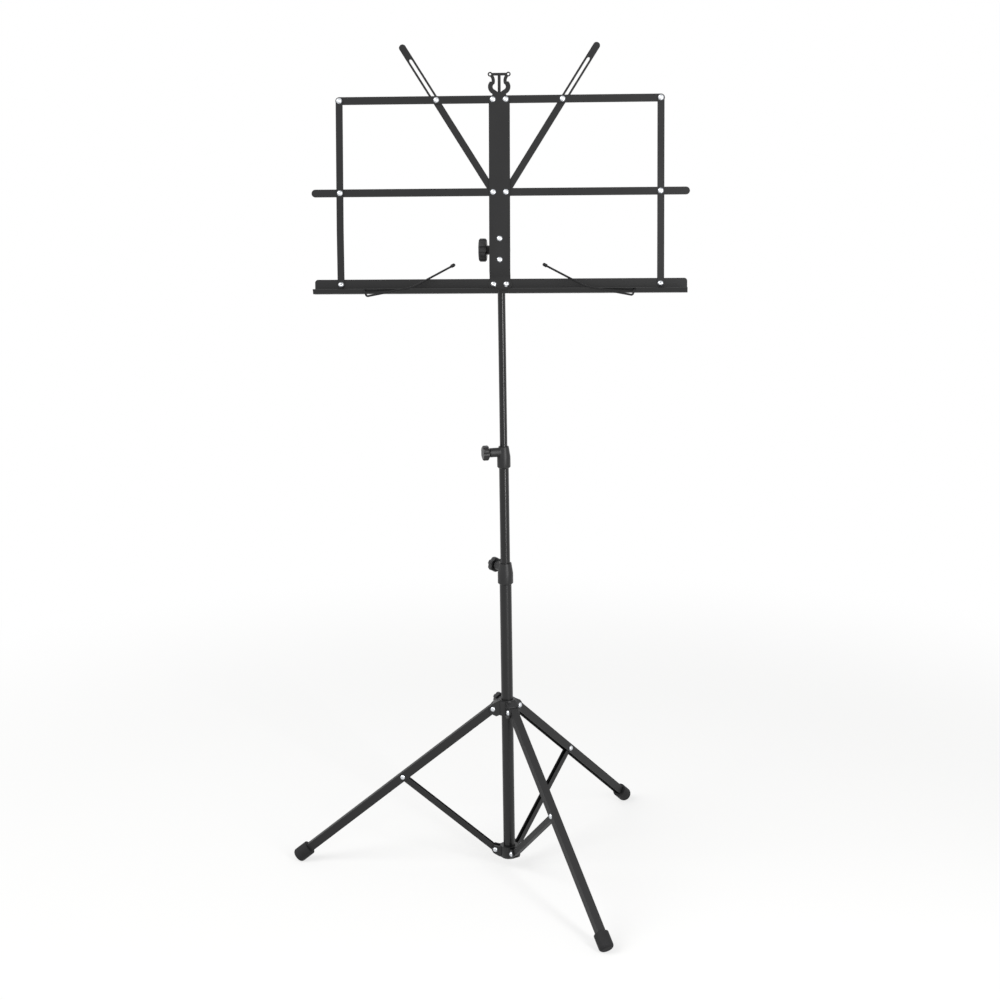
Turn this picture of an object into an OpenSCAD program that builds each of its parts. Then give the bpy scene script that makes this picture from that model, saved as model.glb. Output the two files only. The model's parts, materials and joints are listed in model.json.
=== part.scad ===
// Folding music stand: tripod base, telescopic mast, tilting desk with two folding wings.
// +X to the player's right, +Y away from the player, +Z up, floor at Z = 0, mast on the Z axis.

/* [Tripod] */
// Angle of each leg from the vertical when the stand is open
leg_spread = 51; // [46:0.5:55]
// Turn of the tripod about the mast, from one leg pointing straight left
tripod_turn = -2.3; // [-40:0.1:40]
// Leg length from the collar pivot to the end of the rubber foot
leg_length = 361; // [345:1:390]
// Distance between pivots of a strut, and from a leg's top pivot to its brace pivot
link_length = 164; // [150:1:168]
// Distance of the collar and hub pivots from the mast's axis
pivot_radius = 19; // [18.5:0.1:22]
// Width of a leg channel across the pivots
leg_w = 10.5; // [9:0.5:12]
// Depth of a leg channel
leg_d = 11.5; // [10:0.5:12]
// Sheet thickness of a leg channel
leg_wall = 1; // [0.8:0.1:1.2]
// Width of a strut channel across the pivots
strut_w = 7; // [5:0.5:7]
// Depth of a strut channel
strut_d = 8; // [6:0.5:8.5]
// Sheet thickness of a strut channel
strut_wall = 1; // [0.8:0.1:1.2]
// Radius of a rubber foot
foot_r = 10; // [9:0.5:12]
// Length of a rubber foot
foot_len = 23; // [18:1:36]
// Rounding of the foot's rim
foot_round = 4.5; // [2:0.5:6]
// Height of rim worn flat where the foot meets the floor
foot_flat = 0.8; // [0.4:0.1:1.2]
// Thickness of an ear of the leg collar and of the bottom hub
ear_t = 2.2; // [1.6:0.1:3]
// Radius of the round body of the leg collar and of the bottom hub
hub_r = 12.4; // [11:0.1:12.8]

/* [Mast] */
// Radius of the base tube
base_r = 8; // [7.8:0.1:9]
// Length of the base tube
base_len = 403; // [390:1:460]
// Radius of the middle tube
mid_r = 6.5; // [6.3:0.1:6.6]
// Length of the middle tube
mid_len = 380; // [340:1:386]
// How far the middle tube stands out of the base tube
mid_out = 160; // [60:1:280]
// Radius of the top rod
rod_r = 5; // [4.5:0.1:5.1]
// Length of the top rod below the tilt pivot
rod_len = 350; // [320:1:380]
// Height of the tilt pivot above the middle tube's top end
rod_out = 275; // [250:1:290]
// Wall of the three tubes
tube_wall = 1; // [0.8:0.1:1]
// Height of a height clamp
clamp_h = 29; // [27:1:36]
// Depth of a height clamp's seat on the end of its tube
clamp_seat = 14; // [10:1:15]

/* [Desk] */
// Lean of the desk from the vertical
desk_tilt = 9.8; // [0:0.1:30]
// Distance from the tilt pivot to the desk's front face
desk_offset = 22.4; // [21:0.1:30]
// Sheet thickness of the centre plate, strips and bars
sheet = 1.2; // [0.8:0.1:1.2]
// Length of the two trays together
desk_w = 480; // [440:2:520]
// Length of the middle bars, tip to tip
mid_bar_w = 486; // [440:2:520]
// Distance from the desk's centre line to the outer rivets
outer_x = 206; // [190:1:215]
// Distance from the desk's centre line to the centre rivets
centre_x = 8.25; // [8:0.05:9]
// Distance of the tray rivets below the tilt pivot
tray_drop = 44.7; // [42:0.1:60]
// Spacing of the tray, middle bar and top bar
bar_pitch = 117.5; // [110:0.5:130]
// Width of the middle and top bars
bar_w = 10; // [9:0.5:11]
// Width of the side strips and the slotted arms
strip_w = 9; // [8.6:0.2:9.6]
// Width of the centre plate
plate_w = 27; // [26:0.5:30]
// How far the plate's lower end is set back to the trays
set_back = 4; // [3.6:0.1:5]
// Distance of the slot rivets from the desk's centre line
slot_rivet_x = 80.9; // [76:0.1:86]
// Length of a slotted arm from its pivot to its tip
arm_len = 222; // [214:1:240]
// Width of the slot in a slotted arm
slot_w = 5.8; // [5.6:0.1:6]
// Height of the ornament above the top rivets
lyre_h = 31.6; // [28:0.1:36]

/* [Tray] */
// Sheet thickness of a tray
tray_sheet = 1; // [0.8:0.1:1.2]
// Height of a tray's wall above its rivets
tray_above = 7; // [6:0.5:8]
// Depth of a tray's shelf below its rivets
tray_below = 12; // [11:0.5:16]
// Depth of the shelf from the wall to the lip
shelf_d = 18; // [14:1:30]
// Height of the lip along its slope
lip_h = 8; // [6:0.5:14]
// Forward flare of the lip
lip_flare = 34; // [0:1:40]
// Thickness of a page wire
wire_d = 2.6; // [1.8:0.1:2.8]
// Distance of a page wire's pivot from the desk's centre line
wire_x = 173; // [165:1:180]
// Length of a page wire's last straight
wire_last = 44; // [30:1:60]
// Slope of a page wire at its pivot
wire_low = 7; // [2:0.5:12]
// Bend of a page wire on its way to the tip
wire_turn = 21; // [10:0.5:28]

/* [Knobs and rivets] */
// Radius of the tilt knob
tilt_knob_r = 15; // [12:0.5:15]
// Thickness of the tilt knob
tilt_knob_t = 10.2; // [8:0.1:12]
// Radius of the height knobs
knob_r = 10; // [8:0.5:12]
// Radius of the leg collar's knob
collar_knob_r = 8; // [7:0.5:9]
// Thickness of the height knobs and of the collar's knob
knob_t = 8; // [6:0.5:9]
// Direction of the lower height knob about the mast
lower_knob_turn = 128; // [90:1:210]
// Direction of the upper height knob about the mast
upper_knob_turn = 197; // [150:1:270]
// Direction of the leg collar's knob about the mast
collar_knob_turn = 124; // [95:1:140]
// Radius of a rivet's domed head
head_r = 3.9; // [3.4:0.1:4.4]
// Radius of a desk rivet's shank
shank_r = 2; // [1.6:0.1:2.2]

/* [Hidden] */
$fn = 64;

// fits and gaps
run_fit = 0.06;    // radial clearance of a pin or a bush that runs
layer_gap = 0.2;   // gap between sheets that slide over each other
side_gap = 0.2;    // gap beside a channel between two ears
loose_gap = 0.3;   // gap round a tube that slides through a clamp
tip_gap = 0.1;     // gap between a clamp screw's tip and its tube

// tripod
legs = [["left", 180], ["rear", 60], ["front", -60]];
foot_end_z = foot_round * (1 - cos(leg_spread)) + (foot_r - foot_round) * sin(leg_spread) - foot_flat;
hub_z = foot_end_z + (leg_length - 2 * link_length) * cos(leg_spread);
collar_z = foot_end_z + leg_length * cos(leg_spread);
brace_x = pivot_radius + link_length * sin(leg_spread);
brace_z = collar_z - link_length * cos(leg_spread);
foot_web = 4;          // rubber between the end of a leg and the end of its foot
leg_pin_r = 2.5;       // shank of the collar and brace rivets
leg_head_r = 3.6;      // head of the tripod's rivets
head_h = 2.1;          // height of a domed head
tail_h = 1.1;          // height of a formed tail
tail_r = 3.2;          // radius of a formed tail
collar_up = 13.5;      // collar body above its pivots
collar_down = 8;       // collar body below its pivots
hub_up = 6;            // hub body above its pivots
hub_down = 11;         // hub body below its pivots
hub_floor = 5;         // closed floor of the hub under the base tube
collar_knob_up = 8;    // collar screw above the pivots
collar_boss_len = 16;  // collar boss, from the mast's axis

// mast
base_low = hub_z - hub_down + hub_floor;
base_top = base_low + base_len;
mid_top = base_top + mid_out;
mid_low = mid_top - mid_len;
tilt_z = mid_top + rod_out;
rod_low = tilt_z - rod_len;
bush_h = 9;            // length of a guide bush below its tube
spigot_h = 10;         // length of a guide bush inside its tube
clamp_wall = 2.4;      // wall of a height clamp round its tube
clamp_top_wall = 1.5;  // wall of a height clamp at its top
clamp_waist = 15;      // height at which a clamp starts to taper
clamp_chamfer = 1.6;   // chamfer at a clamp's foot
clamp_screw_up = 21.5; // height of a clamp's screw above its foot
boss_r = 6.2;          // radius of the screw bosses
boss_len = 18.6;       // clamp boss, from the mast's axis
screw_r = 2.5;         // radius of the clamp screws
knob_neck = 1.8;       // bare neck between a boss and its knob
knob_gap = 0.3;        // gap between a boss and its knob
screw_in = 5;          // depth of a clamp screw inside its knob
lobes = 6;

// desk sheets, front to back: plate and strips, bars, slotted arms
function layer_back(n) = -desk_offset + sheet + n * (sheet + layer_gap);
tab_back = layer_back(0) + set_back;
wall_back = tab_back + layer_gap + tray_sheet;
tray_v = -tray_drop;
mid_v = tray_v + bar_pitch;
top_v = mid_v + bar_pitch;
wing = outer_x - centre_x;
slot_reach = slot_rivet_x - centre_x;
arm_angle = atan(slot_reach / bar_pitch);
arm_bias = 0.45;       // rest angle set slightly outwards, to share the slot's play over the fold
slot_rest = norm([slot_reach, bar_pitch]);
slot_end = 22;         // solid tip beyond the slot
slot_start = 4;        // slot below the resting rivet
slot_pin_r = 1.3;      // shank of the slot rivet
slot_tail_r = 4;       // tail of the slot rivet, wider than the slot
tab_r = 7.2;           // round of the plate and trays about the tray rivets
bracket_v = 13.5;      // rivets of the tilt bracket, above and below the pivot
bracket_sheet = 1.6;
bracket_h = 18.5;      // half height of the bracket's base
bracket_root = 12;     // half height of an ear at the base
eye_w = 10.4;          // width of the rod's eye
eye_r = 8.5;           // radius of the rod's eye
ear_r = 7.5;           // radius of a bracket ear's end
neck_r = 7;            // socket of the eye over the rod
eye_drop = 14;         // flat part of the eye below the pivot
socket_h = 16;         // length of the eye's socket
rod_top_drop = 12;     // rod's top end below the pivot
tilt_pin_r = 3;        // tilt screw
tilt_neck_r = 6;       // neck of the tilt knob
tilt_neck_len = 11;    // length of that neck
tilt_screw_in = 6;     // depth of the tilt screw in the knob's head
nut_t = 4.4;
nut_r = 5.8;           // tilt nut, to its corners
screw_past = 1;        // screw beyond the nut

// tray
bend_r = 2;            // outside radius of the tray's bends
tray_gap_x = 2;        // inner end of a tray from the centre line
right_lip_cut = 9;     // right tray's lip and shelf stop short of its wall by this
corner_r = 4;          // outer top corner of a tray
shelf_front = wall_back - tray_sheet - shelf_d;
lip_in = bend_r - tray_sheet / 2;
lip_mid = (lip_h - bend_r) / 2;
lip_mid_y = shelf_front + bend_r - lip_in * cos(lip_flare) - lip_mid * sin(lip_flare);
lip_mid_v = tray_v - tray_below + bend_r - lip_in * sin(lip_flare) + lip_mid * cos(lip_flare);
wire_gap = 0.2;        // gap between a page wire and the lip
wire_elbow = wire_d * 0.55; // radius of the elbow at a page wire's pin
wire_head_r = wire_d / 2 + 0.6; // head of the pin that goes through the lip
wire_head_h = 0.8;
wire_pin = tray_sheet / 2 / cos(lip_flare) + wire_head_r * tan(lip_flare) + wire_gap + wire_head_h;
wire_out = lip_mid * sin(lip_flare) + tray_sheet / 2 + wire_gap + wire_d / 2;
wire_first = 44;       // first straight of a page wire
wire_bend_r = 60;      // radius of its bend
wire_bead = 0.04;      // swelling of the wire where its bend starts and ends
tip_r = 2.2;           // radius of a page wire's bulb
tip_len = 6;

black = [0.13, 0.13, 0.14];
moulded = [0.09, 0.09, 0.1];
rubber = [0.3, 0.3, 0.31];
zinc = [0.85, 0.86, 0.88];

// ---------- shared shapes ----------

// a tube or a stepped round piece, standing on z = 0
module ring(r_out, r_in, h) {
    difference() {
        cylinder(r = r_out, h = h);
        translate([0, 0, -1]) cylinder(r = r_in, h = h + 2);
    }
}

// flat strip outline with round ends, from the origin along +X
module stadium(len, w) {
    circle(d = w);
    translate([len, 0]) circle(d = w);
    translate([0, -w / 2]) square([len, w]);
}

// rivet along +Z: domed head below z = 0, shank up to the tail
module rivet(stack, r, dome_r, foot_r) {
    ball = (pow(dome_r, 2) + pow(head_h, 2)) / (2 * head_h);
    rotate_extrude() {
        intersection() {
            translate([0, ball - head_h]) circle(r = ball);
            translate([0, -head_h]) square([dome_r, head_h]);
        }
        square([r, stack]);
        translate([0, stack]) square([foot_r, tail_h]);
    }
}

// lobed grip along +Z with its neck below, blind bore for the screw
module lobed_knob(r, t, neck, neck_len, bore, bore_in) {
    scoop = 0.34 * r;
    soft = 0.12 * r;
    difference() {
        union() {
            intersection() {
                linear_extrude(t) difference() {
                    circle(r = r);
                    for (i = [0 : lobes - 1]) rotate((i + 0.5) * 360 / lobes)
                        translate([r + 0.45 * scoop, 0]) circle(r = scoop);
                }
                rotate_extrude() polygon([[0, 0], [r - soft, 0], [r, soft],
                                          [r, t - soft], [r - soft, t], [0, t]]);
            }
            translate([0, 0, -neck_len]) cylinder(r = neck, h = neck_len + t / 2);
        }
        translate([0, 0, -neck_len - 1]) cylinder(r = bore, h = neck_len + bore_in + 1);
    }
}

// ---------- tripod ----------

// turn a shape drawn in the XZ plane to a leg's direction
module leg_side(side) {
    rotate(side + tripod_turn) children();
}

// U channel along -Z from its top pivot, web towards +X, pivots on the Y axis
module channel(w, d, wall, len) {
    intersection() {
        difference() {
            translate([-d / 2, -w / 2, -len]) cube([d, w, len + d / 2]);
            translate([-d / 2 - 1, -w / 2 + wall, -len - 1])
                cube([d + 1 - wall, w - 2 * wall, len + d + 2]);
        }
        union() {
            rotate([90, 0, 0]) cylinder(d = d, h = w + 2, center = true);
            translate([-d, -w, -len - d]) cube([2 * d, 2 * w, len + d]);
        }
    }
}

module cross_pin(r, w) {
    rotate([90, 0, 0]) cylinder(r = r, h = w, center = true);
}

module leg(side) {
    color(black) leg_side(side) translate([pivot_radius, 0, collar_z]) rotate([0, -leg_spread, 0])
        difference() {
            channel(leg_w, leg_d, leg_wall, leg_length - foot_web);
            cross_pin(leg_pin_r + run_fit, leg_w + 2);
            translate([0, 0, -link_length]) cross_pin(leg_pin_r, leg_w + 2);
        }
}

module strut(side) {
    color(black) leg_side(side) translate([pivot_radius, 0, hub_z]) rotate([0, leg_spread, 0])
        difference() {
            intersection() {
                mirror([0, 0, 1]) channel(strut_w, strut_d, strut_wall, link_length + strut_d);
                union() {
                    translate([-strut_d, -strut_w, -strut_d])
                        cube([2 * strut_d, 2 * strut_w, link_length + strut_d]);
                    translate([0, 0, link_length]) rotate([90, 0, 0])
                        cylinder(d = strut_d, h = strut_w + 2, center = true);
                }
            }
            cross_pin(leg_pin_r + run_fit, strut_w + 2);
            translate([0, 0, link_length]) cross_pin(leg_pin_r + run_fit, strut_w + 2);
        }
}

module foot(side) {
    color(rubber) difference() {
        leg_side(side) translate([pivot_radius, 0, collar_z]) rotate([0, -leg_spread, 0])
            difference() {
                translate([0, 0, -leg_length]) rotate_extrude() {
                    translate([foot_r - foot_round, foot_round]) circle(r = foot_round);
                    square([foot_r - foot_round, foot_len]);
                    translate([0, foot_round]) square([foot_r, foot_len - foot_round - 1]);
                    translate([0, foot_round]) square([foot_r - 1, foot_len - foot_round]);
                    translate([foot_r - 1, foot_len - 1]) circle(r = 1);
                }
                translate([-leg_d / 2, -leg_w / 2, -leg_length + foot_web])
                    cube([leg_d, leg_w, foot_len]);
            }
        translate([-leg_length * 2, -leg_length * 2, -foot_len]) cube([leg_length * 4, leg_length * 4, foot_len]);
    }
}

// rivet across a leg at height z along it, head on one side and tail on the other
module cross_rivet(w) {
    translate([0, -w / 2, 0]) rotate([-90, 0, 0]) rivet(w, leg_pin_r, leg_head_r, leg_head_r - 0.4);
}

module brace_rivet(side) {
    color(zinc) leg_side(side) translate([brace_x, 0, brace_z]) cross_rivet(leg_w);
}

// a pair of ears with a gap between them, profile drawn about the pivot
module ears(gap_w, profile) {
    for (s = [-1, 1]) translate([pivot_radius, s * (gap_w + ear_t) / 2, 0]) rotate([90, 0, 0])
        linear_extrude(ear_t, center = true) polygon(profile);
}

leg_gap = leg_w + 2 * side_gap;
strut_gap = strut_w + 2 * side_gap;
ear_root = -pivot_radius + base_r + 1;
ear_brow = [1, 7.5];   // outer end of the roof between two ears of the collar

module leg_collar() {
    profile = [[ear_root, collar_up], ear_brow, [4.5, 3.5], [5.2, -2], [3, -6.5],
               [-4.5, -10], [-9, -8], [ear_root, -collar_down]];
    color(moulded) translate([0, 0, collar_z]) difference() {
        union() {
            translate([0, 0, -collar_down]) cylinder(r = hub_r, h = collar_down + collar_up - 1);
            translate([0, 0, collar_up - 1]) cylinder(r = hub_r - 1, h = 1);
            for (l = legs) leg_side(l[1]) {
                ears(leg_gap, profile);
                translate([pivot_radius, 0, 0]) rotate([90, 0, 0]) linear_extrude(leg_gap + ear_t, center = true)
                    difference() {
                        polygon([[ear_root, 0], [ear_root, collar_up], ear_brow, [ear_brow[0], 0]]);
                        circle(d = leg_d + 2 * side_gap);
                    }
            }
            screw_side(collar_knob_turn, collar_knob_up) cylinder(r = boss_r - 1, h = collar_boss_len);
        }
        translate([0, 0, -collar_down - 5]) cylinder(r = base_r + run_fit, h = 2 * collar_up + 10);
        for (l = legs) leg_side(l[1]) translate([pivot_radius, 0, 0])
            cross_pin(leg_pin_r, leg_gap + 3 * ear_t);
        screw_side(collar_knob_turn, collar_knob_up)
            cylinder(r = screw_r + run_fit, h = collar_boss_len + 1);
    }
}

module collar_rivets() {
    color(zinc) for (l = legs) leg_side(l[1]) translate([pivot_radius, 0, collar_z])
        cross_rivet(leg_gap + 2 * ear_t);
}

module bottom_hub() {
    profile = [[ear_root, hub_up], [-5, 5], [1.5, 6.5], [4.5, 3], [4.8, -1],
               [2.5, -5], [-4.5, -9], [ear_root, -hub_down]];
    color(moulded) translate([0, 0, hub_z]) difference() {
        union() {
            translate([0, 0, -hub_down + 1]) cylinder(r = hub_r, h = hub_down + hub_up - 1);
            translate([0, 0, -hub_down]) cylinder(r = hub_r - 1, h = 1);
            for (l = legs) leg_side(l[1]) ears(strut_gap, profile);
        }
        translate([0, 0, -hub_down + hub_floor]) cylinder(r = base_r, h = hub_down + hub_up);
        for (l = legs) leg_side(l[1]) translate([pivot_radius, 0, 0])
            cross_pin(leg_pin_r, strut_gap + 3 * ear_t);
    }
}

module hub_rivets() {
    color(zinc) for (l = legs) leg_side(l[1]) translate([pivot_radius, 0, hub_z])
        cross_rivet(strut_gap + 2 * ear_t);
}

// ---------- clamp screws and knobs ----------

// place a shape drawn along +Z so that it points out of the mast
module screw_side(side, z) {
    translate([0, 0, z]) rotate(side) rotate([0, 90, 0]) children();
}

module clamp_knob(side, z, r, boss) {
    color(moulded) screw_side(side, z) translate([0, 0, boss + knob_gap + knob_neck])
        lobed_knob(r, knob_t, screw_r + 2, knob_neck, screw_r, screw_in);
}

module clamp_screw(side, z, tube_r, boss) {
    tip = tube_r + tip_gap;
    color(zinc) screw_side(side, z) translate([0, 0, tip])
        cylinder(r = screw_r, h = boss + knob_gap + knob_neck + screw_in - tip);
}

lower_foot = base_top - clamp_seat;
upper_foot = mid_top - clamp_seat;

// moulded height clamp: seat on the outer tube, guide for the inner one, boss for the screw
module height_clamp(outer_r, inner_r, side) {
    r = outer_r + clamp_wall;
    top = inner_r + loose_gap + clamp_top_wall;
    color(moulded) difference() {
        union() {
            rotate_extrude() polygon([[0, 0], [r - clamp_chamfer, 0], [r, clamp_chamfer], [r, clamp_waist],
                                      [top, clamp_h], [0, clamp_h]]);
            screw_side(side, clamp_screw_up) cylinder(r = boss_r, h = boss_len);
        }
        translate([0, 0, -1]) cylinder(r = outer_r, h = clamp_seat + 1);
        translate([0, 0, -1]) cylinder(r = inner_r + loose_gap, h = clamp_h + 2);
        screw_side(side, clamp_screw_up) cylinder(r = screw_r + run_fit, h = boss_len + 1);
    }
}

module lower_clamp() {
    translate([0, 0, lower_foot]) height_clamp(base_r, mid_r, lower_knob_turn);
}

module upper_clamp() {
    translate([0, 0, upper_foot]) height_clamp(mid_r, rod_r, upper_knob_turn);
}

module lower_knob() {
    clamp_knob(lower_knob_turn, lower_foot + clamp_screw_up, knob_r, boss_len);
}

module lower_screw() {
    clamp_screw(lower_knob_turn, lower_foot + clamp_screw_up, mid_r, boss_len);
}

module upper_knob() {
    clamp_knob(upper_knob_turn, upper_foot + clamp_screw_up, knob_r, boss_len);
}

module upper_screw() {
    clamp_screw(upper_knob_turn, upper_foot + clamp_screw_up, rod_r, boss_len);
}

module collar_knob() {
    clamp_knob(collar_knob_turn, collar_z + collar_knob_up, collar_knob_r, collar_boss_len);
}

module collar_screw() {
    clamp_screw(collar_knob_turn, collar_z + collar_knob_up, base_r, collar_boss_len);
}

// ---------- mast ----------

module base_tube() {
    color(black) translate([0, 0, base_low]) ring(base_r, base_r - tube_wall, base_len);
}

module mid_tube() {
    color(black) translate([0, 0, mid_low]) ring(mid_r, mid_r - tube_wall, mid_len);
}

// guide bush at a tube's lower end: a flange that runs in the outer tube, and a spigot
module guide_bush(flange_r, spigot_r, z) {
    color(moulded) translate([0, 0, z]) {
        translate([0, 0, -bush_h]) cylinder(r = flange_r, h = bush_h);
        cylinder(r = spigot_r, h = spigot_h);
    }
}

module mid_tube_bush() {
    guide_bush(base_r - tube_wall - run_fit, mid_r - tube_wall, mid_low);
}

module rod_bush() {
    guide_bush(mid_r - tube_wall - run_fit, rod_r - tube_wall - run_fit, rod_low);
}

module top_rod() {
    color(black) translate([0, 0, rod_low]) ring(rod_r, rod_r - tube_wall, rod_len - rod_top_drop);
}

module rod_eye() {
    color(moulded) translate([0, 0, tilt_z]) difference() {
        union() {
            cross_eye();
            translate([0, 0, -eye_drop - socket_h]) cylinder(r = neck_r, h = socket_h);
        }
        translate([0, 0, -eye_drop - socket_h - 1])
            cylinder(r = rod_r, h = socket_h + eye_drop - rod_top_drop + 1);
        rotate([0, 90, 0]) cylinder(r = tilt_pin_r + run_fit, h = eye_w + 2, center = true);
    }
}

module cross_eye() {
    rotate([0, 90, 0]) cylinder(r = eye_r, h = eye_w, center = true);
    translate([-eye_w / 2, -neck_r, -eye_drop]) cube([eye_w, 2 * neck_r, eye_drop]);
}

// ---------- desk ----------

// desk frame: origin on the tilt pivot, X along the desk, Z up along it, -Y towards the player
module at_desk() {
    translate([0, 0, tilt_z]) rotate([-desk_tilt, 0, 0]) children();
}

// a flat sheet whose back face lies at y, from an outline in X and Z
module sheet_at(y, t) {
    translate([0, y, 0]) rotate([90, 0, 0]) linear_extrude(t) children();
}

// a desk rivet at [x, v], head in front of the plane y, tail behind the stack
module desk_rivet(x, v, y, stack, r, foot_r) {
    translate([x, y, v]) rotate([-90, 0, 0]) rivet(stack, r, head_r, foot_r);
}

// sheet profile in Y and Z that steps back by set_back between two heights
module stepped(low, step_low, step_high, high, w) {
    front = -desk_offset;
    translate([-w / 2, 0, 0]) rotate([90, 0, 90]) linear_extrude(w) polygon([
        [front, high], [front, step_high], [front + set_back, step_low], [front + set_back, low],
        [front + set_back + sheet, low], [front + set_back + sheet, step_low],
        [front + sheet, step_high], [front + sheet, high]]);
}

step_low = tray_v + 10.5;
step_high = step_low + 6.5;
ring_r = 3;            // end rings of the ornament
ring_hole = 1.4;
ring_x = 11.7;
bulge_r = 10;          // outer round of the ornament's bulge
bulge_in = 4;
bulge_x = 4.4;
waist_r = 8;           // hollow round of the ornament's waist
waist_in = 12.2;
waist_x = 17.6;
string_w = 3.8;        // middle string
beam_w = 3.4;          // crossbeam
lyre_neck = 8.9;

// outline of the lyre ornament, origin midway between the top rivets
module lyre() {
    bulge_v = lyre_h / 2;
    waist_v = lyre_h * 0.74;
    difference() {
        union() {
            translate([-lyre_neck, 0]) square([2 * lyre_neck, bulge_v / 2]);
            for (s = [-1, 1]) {
                intersection() {
                    translate([s * bulge_x, bulge_v]) circle(r = bulge_r);
                    translate([-bulge_r * 2, 0]) square([bulge_r * 4, waist_v - 1]);
                }
                translate([s * ring_x, lyre_h]) circle(r = ring_r);
            }
            difference() {
                translate([-ring_x, waist_v - 3]) square([2 * ring_x, lyre_h - waist_v + 3 + beam_w / 2]);
                for (s = [-1, 1]) translate([s * waist_x, waist_v]) circle(r = waist_r);
            }
        }
        for (s = [-1, 1]) {
            difference() {
                union() {
                    translate([s * bulge_x, bulge_v]) circle(r = bulge_in);
                    polygon([[0, bulge_v / 2], [s * (bulge_x + 0.8 * bulge_in), bulge_v - 0.6 * bulge_in], [0, bulge_v]]);
                    difference() {
                        translate([s > 0 ? 0 : -bulge_r, bulge_v])
                            square([bulge_r, lyre_h - bulge_v - beam_w / 2]);
                        translate([s * waist_x, waist_v]) circle(r = waist_in);
                    }
                }
                translate([-string_w / 2, 0]) square([string_w, lyre_h]);
            }
            translate([s * ring_x, lyre_h]) circle(r = ring_hole);
        }
    }
}

module centre_plate() {
    color(black) at_desk() intersection() {
        stepped(tray_v - 2 * tab_r, step_low, step_high, top_v + 2 * lyre_h, plate_w * 2);
        sheet_at(wall_back, desk_offset) difference() {
            union() {
                translate([-plate_w / 2, tray_v]) square([plate_w, top_v - tray_v]);
                for (s = [-1, 1]) {
                    translate([s * centre_x, tray_v]) circle(r = tab_r);
                    translate([s * (plate_w / 2 - bar_w / 2), top_v]) circle(d = bar_w);
                }
                translate([-centre_x, tray_v - tab_r]) square([2 * centre_x, tab_r]);
                translate([0, top_v]) lyre();
            }
            for (s = [-1, 1], v = [tray_v, mid_v, top_v])
                translate([s * centre_x, v]) circle(r = shank_r);
            for (v = [-bracket_v, bracket_v]) translate([0, v]) circle(r = shank_r);
        }
    }
}

module centre_rivets() {
    plate_front = -desk_offset;
    color(zinc) at_desk() for (s = [-1, 1]) {
        desk_rivet(s * centre_x, tray_v, plate_front + set_back,
                   sheet + tray_sheet + 2 * layer_gap, shank_r, tail_r);
        desk_rivet(s * centre_x, mid_v, plate_front, 3 * (sheet + layer_gap), shank_r, tail_r);
        desk_rivet(s * centre_x, top_v, plate_front, 2 * (sheet + layer_gap), shank_r, tail_r);
    }
}

module bracket_rivets() {
    color(zinc) at_desk() for (v = [-bracket_v, bracket_v])
        desk_rivet(0, v, -desk_offset, sheet + bracket_sheet, shank_r, tail_r);
}

ear_in = eye_w / 2 + side_gap;
ear_out = ear_in + bracket_sheet;

module tilt_bracket() {
    back = layer_back(0);
    color(black) at_desk() difference() {
        union() {
            translate([-ear_out, back, -bracket_h]) cube([2 * ear_out, bracket_sheet, 2 * bracket_h]);
            for (s = [-1, 1]) translate([s * (ear_in + ear_out) / 2, 0, 0]) rotate([90, 0, 90])
                linear_extrude(bracket_sheet, center = true) {
                    circle(r = ear_r);
                    polygon([[back, -bracket_root], [0, -ear_r], [0, ear_r], [back, bracket_root]]);
                }
        }
        for (v = [-bracket_v, bracket_v]) translate([0, back, v]) rotate([-90, 0, 0])
            cylinder(r = shank_r, h = 4 * bracket_sheet, center = true);
        rotate([0, 90, 0]) cylinder(r = tilt_pin_r + run_fit, h = 4 * ear_out, center = true);
    }
}

tilt_knob_x = ear_out + tip_gap + tilt_neck_len;

module tilt_knob() {
    color(moulded) at_desk() translate([-tilt_knob_x, 0, 0]) rotate([0, -90, 0])
        lobed_knob(tilt_knob_r, tilt_knob_t, tilt_neck_r, tilt_neck_len, tilt_pin_r, tilt_screw_in);
}

module tilt_screw() {
    from = tilt_knob_x + tilt_screw_in;
    color(zinc) at_desk() translate([-from, 0, 0]) rotate([0, 90, 0])
        cylinder(r = tilt_pin_r, h = from + ear_out + nut_t + screw_past);
}

module tilt_nut() {
    color(zinc) at_desk() translate([ear_out, 0, 0]) rotate([0, 90, 0]) difference() {
        cylinder(r = nut_r, h = nut_t, $fn = 6);
        translate([0, 0, -1]) cylinder(r = tilt_pin_r + run_fit, h = nut_t + 2);
    }
}

// ---------- wings: s is -1 on the left and 1 on the right ----------

// a bar hinged at its centre rivet
module wing_bar(s, v, len) {
    color(black) at_desk() flip(s) sheet_at(layer_back(1), sheet) translate([centre_x, v])
        difference() {
            stadium(len, bar_w);
            circle(r = shank_r + run_fit);
            translate([wing, 0]) circle(r = shank_r + run_fit);
            if (v == top_v) translate([slot_reach, 0]) circle(r = slot_pin_r);
        }
}

module slotted_arm(s) {
    color(black) at_desk() sheet_at(layer_back(2), sheet) translate([s * centre_x, mid_v])
        rotate(90 - s * (arm_angle + arm_bias)) difference() {
            stadium(arm_len - strip_w / 2, strip_w);
            circle(r = shank_r + run_fit);
            translate([slot_rest - slot_start + slot_w / 2, 0])
                stadium(arm_len - slot_end - slot_rest + slot_start - slot_w, slot_w);
        }
}

module slot_rivet(s) {
    color(zinc) at_desk()
        desk_rivet(s * slot_rivet_x, top_v, layer_back(1) - sheet,
                   2 * (sheet + layer_gap), slot_pin_r, slot_tail_r);
}

strip_step = mid_v - 48;

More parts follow.
